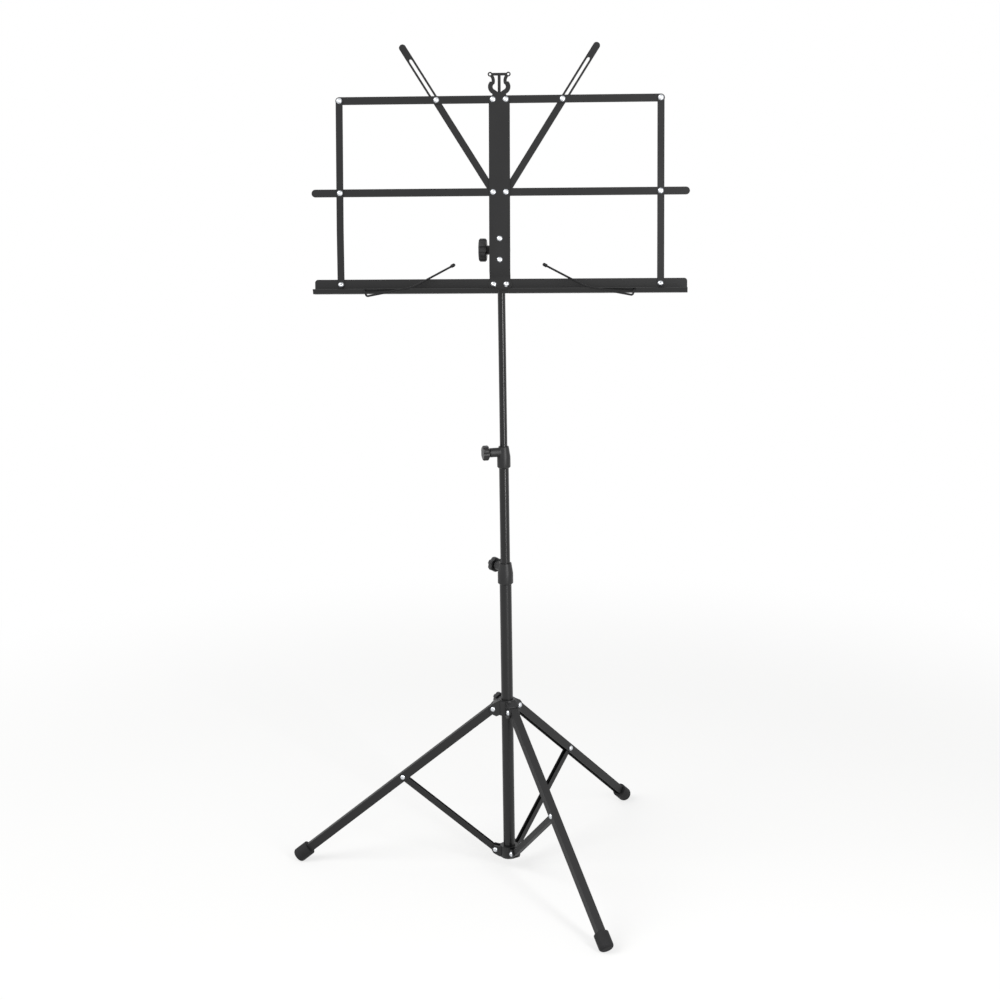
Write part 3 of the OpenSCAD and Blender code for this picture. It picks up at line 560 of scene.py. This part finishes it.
def dome_nodes(tree, source):
    """A closed dome of radius 1 and height 1 with a setting mark: the rows of a grid are wrapped
    round, and the last row is drawn in as its base."""
    rows = add_node(tree, "ShaderNodeMath", {0: source["Rings"], 1: 2.0}, operation="ADD")
    cols = add_node(tree, "ShaderNodeMath", {0: source["Segments"], 1: 1.0}, operation="ADD")
    grid = add_node(
        tree,
        "GeometryNodeMeshGrid",
        {
            "Size X": 1.0,
            "Size Y": 1.0,
            "Vertices X": cols.outputs["Value"],
            "Vertices Y": rows.outputs["Value"],
        },
    )
    place = add_node(tree, "GeometryNodeInputPosition")
    split = add_node(tree, "ShaderNodeSeparateXYZ", {0: place.outputs["Position"]})
    angle = add_node(
        tree,
        "ShaderNodeMapRange",
        {
            "From Min": -0.5,
            "From Max": 0.5,
            "To Min": 0.0,
            "To Max": 2 * math.pi,
            "Value": split.outputs["X"],
        },
    )
    # the rows from the top to the rim make a quarter turn
    step = add_node(tree, "ShaderNodeMath", {0: 1.0, 1: rows.outputs["Value"]}, operation="DIVIDE")
    rim = add_node(tree, "ShaderNodeMath", {0: 0.5, 1: step.outputs["Value"]}, operation="SUBTRACT")
    down = add_node(
        tree,
        "ShaderNodeMapRange",
        {
            "From Min": -0.5,
            "From Max": rim.outputs["Value"],
            "To Min": 0.0,
            "To Max": math.pi / 2,
            "Value": split.outputs["Y"],
        },
    )
    sine = add_node(tree, "ShaderNodeMath", {0: down.outputs["Result"]}, operation="SINE")
    last = add_node(tree, "ShaderNodeMath", {0: split.outputs["Y"], 1: 0.499}, operation="GREATER_THAN")
    open_row = add_node(tree, "ShaderNodeMath", {0: 1.0, 1: last.outputs["Value"]}, operation="SUBTRACT")
    radius = add_node(
        tree,
        "ShaderNodeMath",
        {0: sine.outputs["Value"], 1: open_row.outputs["Value"]},
        operation="MULTIPLY",
    )
    # the height falls by a power of the radius and, up to 0.42 of it, by the setting mark
    fall = add_node(
        tree, "ShaderNodeMath", {0: sine.outputs["Value"], 1: source["Shoulder"]}, operation="POWER"
    )
    mark = add_node(
        tree,
        "ShaderNodeMapRange",
        {"From Max": 0.42, "To Min": source["Dimple"], "To Max": 0.0, "Value": sine.outputs["Value"]},
        interpolation_type="SMOOTHSTEP",
    )
    drop = add_node(
        tree, "ShaderNodeMath", {0: fall.outputs["Value"], 1: mark.outputs["Result"]}, operation="ADD"
    )
    height = add_node(tree, "ShaderNodeMath", {0: 1.0, 1: drop.outputs["Value"]}, operation="SUBTRACT")
    spots = {"Z": height.outputs["Value"]}
    for axis, ratio in (("X", "COSINE"), ("Y", "SINE")):
        share = add_node(tree, "ShaderNodeMath", {0: angle.outputs["Result"]}, operation=ratio)
        spots[axis] = add_node(
            tree,
            "ShaderNodeMath",
            {0: share.outputs["Value"], 1: radius.outputs["Value"]},
            operation="MULTIPLY",
        ).outputs["Value"]
    point = add_node(tree, "ShaderNodeCombineXYZ", spots)
    dome = add_node(
        tree,
        "GeometryNodeSetPosition",
        {"Geometry": grid.outputs["Mesh"], "Position": point.outputs["Vector"]},
    )
    return add_node(
        tree, "GeometryNodeMergeByDistance", {"Distance": 1e-4, "Geometry": dome.outputs["Geometry"]}
    ).outputs["Geometry"]


def rivet_tree():
    """Domed heads and low peened tails on points that carry their aim, grip and both radii."""
    if "rivets" in bpy.data.node_groups:
        return bpy.data.node_groups["rivets"]
    tree, source = new_tree(
        "rivets", ("Head Height", "Tail Height", "Shoulder", "Dimple"), ("Segments", "Rings")
    )
    carried = {}
    for name, kind in (("aim", "FLOAT_VECTOR"), ("grip", "FLOAT"), ("wide", "FLOAT"), ("foot", "FLOAT")):
        read = add_node(tree, "GeometryNodeInputNamedAttribute", {"Name": name}, data_type=kind)
        carried[name] = read.outputs["Attribute"]
    dome = dome_nodes(tree, source)
    back = add_node(tree, "ShaderNodeVectorMath", {0: carried["aim"], "Scale": -1.0}, operation="SCALE")
    offset = add_node(
        tree,
        "ShaderNodeVectorMath",
        {0: back.outputs["Vector"], "Scale": carried["grip"]},
        operation="SCALE",
    )
    far = add_node(
        tree,
        "GeometryNodeSetPosition",
        {"Geometry": source["Geometry"], "Offset": offset.outputs["Vector"]},
    )
    joined = add_node(tree, "GeometryNodeJoinGeometry")
    for points, facing, radius, height in (
        (source["Geometry"], carried["aim"], carried["wide"], source["Head Height"]),
        (far.outputs["Geometry"], back.outputs["Vector"], carried["foot"], source["Tail Height"]),
    ):
        turn = add_node(tree, "FunctionNodeAlignRotationToVector", {"Vector": facing}, axis="Z")
        size = add_node(tree, "ShaderNodeCombineXYZ", {"X": radius, "Y": radius, "Z": height})
        ends = add_node(
            tree,
            "GeometryNodeInstanceOnPoints",
            {
                "Points": points,
                "Instance": dome,
                "Rotation": turn.outputs["Rotation"],
                "Scale": size.outputs["Vector"],
            },
        )
        tree.links.new(ends.outputs["Instances"], joined.inputs["Geometry"])
    return end_tree(tree, source, joined.outputs["Geometry"])


def thread_tree():
    """A screw along +Z: a core and a helical ridge round it."""
    if "screw_thread" in bpy.data.node_groups:
        return bpy.data.node_groups["screw_thread"]
    tree, source = new_tree("screw_thread", ("Radius", "Length", "Pitch", "Depth"))
    core = add_node(
        tree, "ShaderNodeMath", {0: source["Radius"], 1: source["Depth"]}, operation="SUBTRACT"
    )
    body = add_node(
        tree,
        "GeometryNodeMeshCylinder",
        {"Vertices": 32, "Radius": core.outputs["Value"], "Depth": source["Length"]},
    )
    middle = add_node(tree, "ShaderNodeMath", {0: source["Length"], 1: 0.5}, operation="MULTIPLY")
    # the ridge is as thick as the thread is deep, and its middle starts half of that up
    half = add_node(tree, "ShaderNodeMath", {0: source["Depth"], 1: 0.5}, operation="MULTIPLY")
    radius = add_node(
        tree, "ShaderNodeMath", {0: source["Radius"], 1: half.outputs["Value"]}, operation="SUBTRACT"
    )
    run = add_node(
        tree, "ShaderNodeMath", {0: source["Length"], 1: source["Pitch"]}, operation="SUBTRACT"
    )
    turns = add_node(
        tree, "ShaderNodeMath", {0: run.outputs["Value"], 1: source["Pitch"]}, operation="DIVIDE"
    )
    helix = add_node(
        tree,
        "GeometryNodeCurveSpiral",
        {
            "Resolution": 24,
            "Rotations": turns.outputs["Value"],
            "Start Radius": radius.outputs["Value"],
            "End Radius": radius.outputs["Value"],
            "Height": run.outputs["Value"],
        },
    )
    section = add_node(
        tree, "GeometryNodeCurvePrimitiveCircle", {"Resolution": 4, "Radius": half.outputs["Value"]}
    )
    ridge = add_node(
        tree,
        "GeometryNodeCurveToMesh",
        {"Fill Caps": True, "Curve": helix.outputs["Curve"], "Profile Curve": section.outputs["Curve"]},
    )
    joined = add_node(tree, "GeometryNodeJoinGeometry")
    for mesh, height in ((body, middle), (ridge, half)):
        lift = add_node(tree, "ShaderNodeCombineXYZ", {"Z": height.outputs["Value"]})
        raised = add_node(
            tree,
            "GeometryNodeTransform",
            {"Geometry": mesh.outputs["Mesh"], "Translation": lift.outputs["Vector"]},
        )
        tree.links.new(raised.outputs["Geometry"], joined.inputs["Geometry"])
    return end_tree(tree, source, joined.outputs["Geometry"])


def wire_tree():
    """A round wire along a chain of edges, with closed ends."""
    if "round_wire" in bpy.data.node_groups:
        return bpy.data.node_groups["round_wire"]
    tree, source = new_tree("round_wire", ("Radius",))
    path = add_node(tree, "GeometryNodeMeshToCurve", {"Mesh": source["Geometry"]})
    section = add_node(
        tree, "GeometryNodeCurvePrimitiveCircle", {"Resolution": 16, "Radius": source["Radius"]}
    )
    wire = add_node(
        tree,
        "GeometryNodeCurveToMesh",
        {"Fill Caps": True, "Curve": path.outputs["Curve"], "Profile Curve": section.outputs["Curve"]},
    )
    return end_tree(tree, source, wire.outputs["Mesh"])


def grown_mesh(name, base, tree, values):
    """The plain mesh that a geometry tree grows from a base mesh."""
    grower = add_object(name + "_grower", base)
    modifier = grower.modifiers.new("grow", "NODES")
    modifier.node_group = tree
    sockets = {item.name: item.identifier for item in tree.interface.items_tree if item.in_out == "INPUT"}
    for socket, value in values.items():
        modifier[sockets[socket]] = value
    bpy.context.view_layer.update()
    evaluated = grower.evaluated_get(bpy.context.evaluated_depsgraph_get())
    mesh = bpy.data.meshes.new_from_object(evaluated)
    mesh.name = name
    bpy.data.objects.remove(grower)
    if not mesh.polygons:
        raise RuntimeError("the tree grew nothing for " + name)
    return mesh


def outward(mesh):
    """Turns every closed shell of a mesh outwards and makes its curves smooth."""
    shape = bmesh.new()
    shape.from_mesh(mesh)
    bmesh.ops.remove_doubles(shape, verts=shape.verts, dist=1e-6)
    bmesh.ops.recalc_face_normals(shape, faces=shape.faces)
    shape.to_mesh(mesh)
    shape.free()
    mesh.shade_smooth()
    mesh.set_sharp_from_angle(angle=math.radians(40))


def grow_piece(node, base, tree, values, place=Matrix.Identity(4)):
    """Grows a piece on a base mesh, puts it in its place and lets it stand for a solid."""
    mesh = grown_mesh(node + "_finished", base, tree, values)
    mesh.transform(place)
    outward(mesh)
    stand_for(node, add_object(node + "_finished", mesh))


def add_rivets(context, node, aim):
    """Rivets that stand for a node's solids, one at each solid, with their heads towards aim."""
    settings = context.scene.stand_rivets
    miss = 2e-5  # metres by which a point of a head or tail may miss its seat
    rivets = []
    for group in islands(node):
        direction = aim(sum(group, Vector()) / len(group))
        reach = [p.dot(direction) for p in group]
        top, bottom = max(reach) - settings.head_height, min(reach) + settings.tail_height
        head = [p for p, r in zip(group, reach) if r > top - miss]
        tail = [p for p, r in zip(group, reach) if r < bottom + miss]
        centre = sum(head, Vector()) / len(head)
        axis = centre - direction * centre.dot(direction)
        wide, foot = (
            max((p - axis - direction * p.dot(direction)).length for p in end) for end in (head, tail)
        )
        rivets.append((axis + direction * top, direction, top - bottom, wide, foot))
    points, aims, grips, widths, feet = zip(*rivets)
    base = bpy.data.meshes.new(node + "_points")
    base.from_pydata(points, [], [])
    facing = base.attributes.new("aim", "FLOAT_VECTOR", "POINT")
    facing.data.foreach_set("vector", [c for a in aims for c in a])
    for name, values in (("grip", grips), ("wide", widths), ("foot", feet)):
        base.attributes.new(name, "FLOAT", "POINT").data.foreach_set("value", values)
    grow_piece(
        node,
        base,
        rivet_tree(),
        {
            "Head Height": settings.head_height,
            "Tail Height": settings.tail_height,
            "Segments": settings.segments,
            "Rings": settings.rings,
            "Shoulder": settings.shoulder,
            "Dimple": settings.dimple,
            "Finish": finish(context, "bright_zinc_plate"),
        },
    )


# ---------- operators ----------


class StandOperator:
    """What every operator of the stand shares."""

    bl_options = {"REGISTER", "UNDO"}


class STAND_OT_tubes(StandOperator, bpy.types.Operator):
    """Finish the base tube, the middle tube and the top rod"""

    bl_idname = "stand.tubes"
    bl_label = "Mast Tubes"

    def execute(self, context):
        edges = context.scene.stand_edges
        soften("base_tube", finish(context, "satin_powder_coat"), edges.tube)
        for node in ("mid_tube", "top_rod"):
            soften(node, finish(context, "rubbed_powder_coat"), edges.tube)
        return {"FINISHED"}


class STAND_OT_tripod(StandOperator, bpy.types.Operator):
    """Finish the legs, the struts and the rubber feet"""

    bl_idname = "stand.tripod"
    bl_label = "Tripod"

    def execute(self, context):
        edges = context.scene.stand_edges
        for leg in LEGS:
            soften("leg_" + leg, finish(context, "textured_powder_coat"), edges.channel)
            soften("strut_" + leg, finish(context, "textured_powder_coat"), edges.channel)
            soften("foot_" + leg, finish(context, "carbon_black_rubber"), 0)
        return {"FINISHED"}


class STAND_OT_mouldings(StandOperator, bpy.types.Operator):
    """Finish the hub, the leg collar, the height clamps, the guide bushes and the rod's eye"""

    bl_idname = "stand.mouldings"
    bl_label = "Mouldings"

    def execute(self, context):
        edges = context.scene.stand_edges
        nylon = finish(context, "grained_nylon")
        for node in ("bottom_hub", "leg_collar", "lower_clamp", "upper_clamp", "rod_eye"):
            soften(node, nylon, edges.moulding)
        for node in ("mid_tube_bush", "rod_bush"):
            soften(node, nylon, edges.tube)
        return {"FINISHED"}


class STAND_OT_knobs(StandOperator, bpy.types.Operator):
    """Finish the four knobs, their screws and the tilt nut"""

    bl_idname = "stand.knobs"
    bl_label = "Knobs"

    def execute(self, context):
        edges = context.scene.stand_edges
        for node in ("tilt_knob", "lower_knob", "upper_knob", "collar_knob"):
            soften(node, finish(context, "grained_nylon"), edges.knob, segments=3)
        for node in ("lower_screw", "upper_screw", "collar_screw", "tilt_nut"):
            soften(node, finish(context, "bright_zinc_plate"), edges.tube)
        return {"FINISHED"}


class STAND_OT_tilt_screw(StandOperator, bpy.types.Operator):
    """Build the tilt screw with its thread"""

    bl_idname = "stand.tilt_screw"
    bl_label = "Tilt Screw"

    def execute(self, context):
        settings = context.scene.stand_rivets
        low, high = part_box("tilt_screw")
        middle = (low + high) / 2
        base = bpy.data.meshes.new("tilt_screw_points")
        base.from_pydata([(0, 0, 0)], [], [])
        start = Matrix.Translation((low.x, middle.y, middle.z))
        grow_piece(
            "tilt_screw",
            base,
            thread_tree(),
            {
                "Radius": (high.z - low.z) / 2,
                "Length": high.x - low.x,
                "Pitch": settings.pitch,
                "Depth": settings.thread_depth,
                "Finish": finish(context, "bright_zinc_plate"),
            },
            start @ Matrix.Rotation(math.pi / 2, 4, "Y"),
        )
        return {"FINISHED"}


class STAND_OT_plate(StandOperator, bpy.types.Operator):
    """Finish the centre plate with its ornament, and the tilt bracket"""

    bl_idname = "stand.plate"
    bl_label = "Centre Plate"

    def execute(self, context):
        edges = context.scene.stand_edges
        for node in ("centre_plate", "tilt_bracket"):
            soften(node, finish(context, "satin_powder_coat"), edges.sheet)
        return {"FINISHED"}


class STAND_OT_wings(StandOperator, bpy.types.Operator):
    """Finish the trays, bars, side strips and slotted arms of both wings"""

    bl_idname = "stand.wings"
    bl_label = "Wings"

    def execute(self, context):
        edges = context.scene.stand_edges
        paint = finish(context, "satin_powder_coat")
        for side in SIDES:
            for node in ("tray_", "mid_bar_", "top_bar_", "side_strip_"):
                soften(node + side, paint, edges.sheet)
            arm = soften("slotted_arm_" + side, paint, edges.sheet)
            narrow_slot(arm.data, edges.slot)
        return {"FINISHED"}


def wire_path(settings, side):
    """The middle line of a page wire, from the back of its pin to its bulb."""
    pin = Vector(JOINTS["page_wire_" + side + "_turn"]["pos_m"])
    inward = Vector((1 if pin.x < 0 else -1, 0, 0))
    up = DESK_FRONT.cross(Vector((1, 0, 0)))
    depth = [(v.co - pin).dot(DESK_FRONT) for v in SOLIDS["page_wire_" + side].data.vertices]
    back = pin + DESK_FRONT * min(depth)
    front = pin + DESK_FRONT * (max(depth) - settings.radius)
    hook = front + inward * settings.run - up * settings.drop
    bend = hook + (inward * math.cos(settings.low) + up * math.sin(settings.low)) * settings.first
    end = bend + (inward * math.cos(settings.high) + up * math.sin(settings.high)) * settings.last
    return rounded([back, front, hook, bend, end], (settings.hook, settings.hook, settings.bend))


class STAND_OT_page_wires(StandOperator, bpy.types.Operator):
    """Build the hooked page wires with their bulbs at the end"""

    bl_idname = "stand.page_wires"
    bl_label = "Page Wires"

    def execute(self, context):
        settings = context.scene.stand_wires
        vinyl = finish(context, "smooth_vinyl")
        for side in SIDES:
            path = wire_path(settings, side)
            base = bpy.data.meshes.new("page_wire_" + side + "_path")
            base.from_pydata(path, [(i, i + 1) for i in range(len(path) - 1)], [])
            grow_piece("page_wire_" + side, base, wire_tree(), {"Radius": settings.radius, "Finish": vinyl})
            bulb = soften("wire_tip_" + side, vinyl, 0, smooth=math.radians(50))
            low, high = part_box("wire_tip_" + side)
            bulb.data.transform(Matrix.Translation(path[-1] - (low + high) / 2))
        return {"FINISHED"}


class STAND_OT_rivets(StandOperator, bpy.types.Operator):
    """Build every rivet of the desk and the tripod"""

    bl_idname = "stand.rivets"
    bl_label = "Rivets"

    def execute(self, context):
        desk = ["bracket_rivets", "centre_rivets"]
        desk += [name + side for side in SIDES for name in ("outer_rivets_", "slot_rivet_")]
        for node in desk:
            add_rivets(context, node, lambda middle: DESK_FRONT)
        leg_axes = [Vector(JOINTS[name]["axis"]) for name in ("fold", "fold_rear", "fold_front")]

        def across_leg(middle):
            """The hinge axis of the leg that a rivet belongs to, which is square to its way out."""
            out = Vector((middle.x, middle.y, 0)).normalized()
            return min(leg_axes, key=lambda axis: abs(axis.dot(out)))

        for node in ["hub_rivets", "collar_rivets"] + ["brace_rivet_" + leg for leg in LEGS]:
            add_rivets(context, node, across_leg)
        return {"FINISHED"}


def looking_rays(tree):
    """1 for the rays that look at the background, and 0 for those that only carry its light."""
    path = add_node(tree, "ShaderNodeLightPath")
    looks = path.outputs[SEEING[0]]
    for kind in SEEING[1:]:
        looks = add_node(
            tree, "ShaderNodeMath", {0: looks, 1: path.outputs[kind]}, operation="MAXIMUM"
        ).outputs["Value"]
    return looks


def floor_material(settings):
    """Pale matt studio floor. Round the stand it is lifted to white for all that looks at it and
    keeps the shadow, and further out it is the white of the surround."""
    material, tree, where = new_material("studio_floor")
    looks = looking_rays(tree)
    matt = add_node(tree, "ShaderNodeBsdfDiffuse", {"Color": tuple(settings.floor)})
    lift = add_node(tree, "ShaderNodeMath", {0: looks, 1: settings.lift}, operation="MULTIPLY")
    glow = add_node(tree, "ShaderNodeEmission", {"Color": WHITE, "Strength": lift.outputs["Value"]})
    near = add_node(tree, "ShaderNodeAddShader", {0: matt.outputs["BSDF"], 1: glow.outputs["Emission"]})
    reach = add_node(tree, "ShaderNodeVectorMath", {0: where}, operation="LENGTH")
    gone = settings.pool * 2.2  # where the shadow has faded out
    fade = add_node(
        tree,
        "ShaderNodeMapRange",
        {"From Min": settings.pool, "From Max": gone, "Value": reach.outputs["Value"]},
        interpolation_type="SMOOTHSTEP",
    )
    share = add_node(tree, "ShaderNodeMath", {0: fade.outputs["Result"], 1: looks}, operation="MULTIPLY")
    white = add_node(tree, "ShaderNodeEmission", {"Color": WHITE, "Strength": 1.0})
    surface = add_node(
        tree,
        "ShaderNodeMixShader",
        {0: share.outputs["Value"], 1: near.outputs["Shader"], 2: white.outputs["Emission"]},
    )
    add_node(tree, "ShaderNodeOutputMaterial", {"Surface": surface.outputs["Shader"]})
    return material


def add_surround(settings):
    """A white world for all that looks at it, which lights the stand softly from all round."""
    world = bpy.data.worlds.new("white_surround")
    world.use_nodes = True
    tree = world.node_tree
    tree.nodes.clear()
    strength = add_node(
        tree,
        "ShaderNodeMapRange",
        {"To Min": settings.surround, "To Max": 1.0, "Value": looking_rays(tree)},
    )
    white = add_node(
        tree, "ShaderNodeBackground", {"Color": WHITE, "Strength": strength.outputs["Result"]}
    )
    add_node(tree, "ShaderNodeOutputWorld", {"Surface": white.outputs["Background"]})
    bpy.context.scene.world = world


def add_lamp(name, power, size, place, aim):
    """A soft lamp of a width and a height, aimed at a point."""
    lamp = bpy.data.lights.new(name, "AREA")
    lamp.shape = "RECTANGLE"
    lamp.size, lamp.size_y = size
    lamp.energy = power
    light = add_object(name, lamp)
    light.location = place
    light.rotation_mode = "QUATERNION"
    light.rotation_quaternion = (Vector(aim) - Vector(place)).to_track_quat("-Z", "Y")


def add_camera(settings):
    """The camera, turned by its heading, then down by its pitch, then about its own view."""
    lens = bpy.data.cameras.new("camera")
    lens.lens = settings.lens
    lens.sensor_width = 36
    camera = add_object("camera", lens)
    camera.matrix_world = (
        Matrix.Translation(settings.place)
        @ Matrix.Rotation(settings.heading, 4, "Z")
        @ Matrix.Rotation(math.pi / 2 - settings.pitch, 4, "X")
        @ Matrix.Rotation(-settings.roll, 4, "Z")
    )
    bpy.context.scene.camera = camera


class STAND_OT_stage(StandOperator, bpy.types.Operator):
    """Set the floor, the lights, the white surround and the camera"""

    bl_idname = "stand.stage"
    bl_label = "Stage"

    def execute(self, context):
        settings = context.scene.stand_stage
        half = settings.floor_size / 2
        corners = [(-half, -half, 0), (half, -half, 0), (half, half, 0), (-half, half, 0)]
        mesh = bpy.data.meshes.new("floor")
        mesh.from_pydata(corners, [], [(0, 1, 2, 3)])
        mesh.materials.append(floor_material(settings))
        add_object("floor", mesh)
        add_surround(settings)
        add_lamp("key_light", settings.key, size=(2.6, 2.6), place=(-2.6, -1.5, 3.0), aim=(0, 0, 0.6))
        add_lamp("strip_light", settings.strip, size=(0.3, 1.9), place=(0.95, -1.45, 1.0), aim=(0, 0, 1.0))
        add_camera(settings)
        context.scene.view_settings.view_transform = "Standard"
        return {"FINISHED"}


class STAND_PT_panel(bpy.types.Panel):
    """The stand's operators and settings."""

    bl_idname = "STAND_PT_panel"
    bl_label = "Music Stand"
    bl_space_type = "VIEW_3D"
    bl_region_type = "UI"
    bl_category = "Music Stand"

    def draw(self, context):
        for operator in OPERATORS:
            self.layout.operator(operator.bl_idname)
        for group in GROUPS:
            box = self.layout.box()
            box.label(text=group.replace("_", " ").capitalize())
            settings = getattr(context.scene, group)
            for name in settings.bl_rna.properties.keys():
                if name not in {"rna_type", "name"}:
                    box.prop(settings, name)


OPERATORS = (
    STAND_OT_tubes,
    STAND_OT_tripod,
    STAND_OT_mouldings,
    STAND_OT_knobs,
    STAND_OT_tilt_screw,
    STAND_OT_plate,
    STAND_OT_wings,
    STAND_OT_page_wires,
    STAND_OT_rivets,
    STAND_OT_stage,
)
GROUPS = {
    "stand_finishes": StandFinishes,
    "stand_edges": StandEdges,
    "stand_rivets": StandRivets,
    "stand_wires": StandWires,
    "stand_stage": StandStage,
}


def register():
    """Registers the settings, the operators and the panel."""
    for group in GROUPS.values():
        bpy.utils.register_class(group)
    for name, group in GROUPS.items():
        setattr(bpy.types.Scene, name, PointerProperty(type=group))
    for operator in OPERATORS:
        bpy.utils.register_class(operator)
    bpy.utils.register_class(STAND_PT_panel)


def unregister():
    """Takes away all that register added."""
    bpy.utils.unregister_class(STAND_PT_panel)
    for operator in reversed(OPERATORS):
        bpy.utils.unregister_class(operator)
    for name in GROUPS:
        delattr(bpy.types.Scene, name)
    for group in reversed(tuple(GROUPS.values())):
        bpy.utils.unregister_class(group)


def main():
    """Builds every piece and the stage."""
    register()
    bpy.ops.stand.tubes()
    bpy.ops.stand.tripod()
    bpy.ops.stand.mouldings()
    bpy.ops.stand.knobs()
    bpy.ops.stand.tilt_screw()
    bpy.ops.stand.plate()
    bpy.ops.stand.wings()
    bpy.ops.stand.page_wires()
    bpy.ops.stand.rivets()
    bpy.ops.stand.stage()


if __name__ == "__main__":
    main()
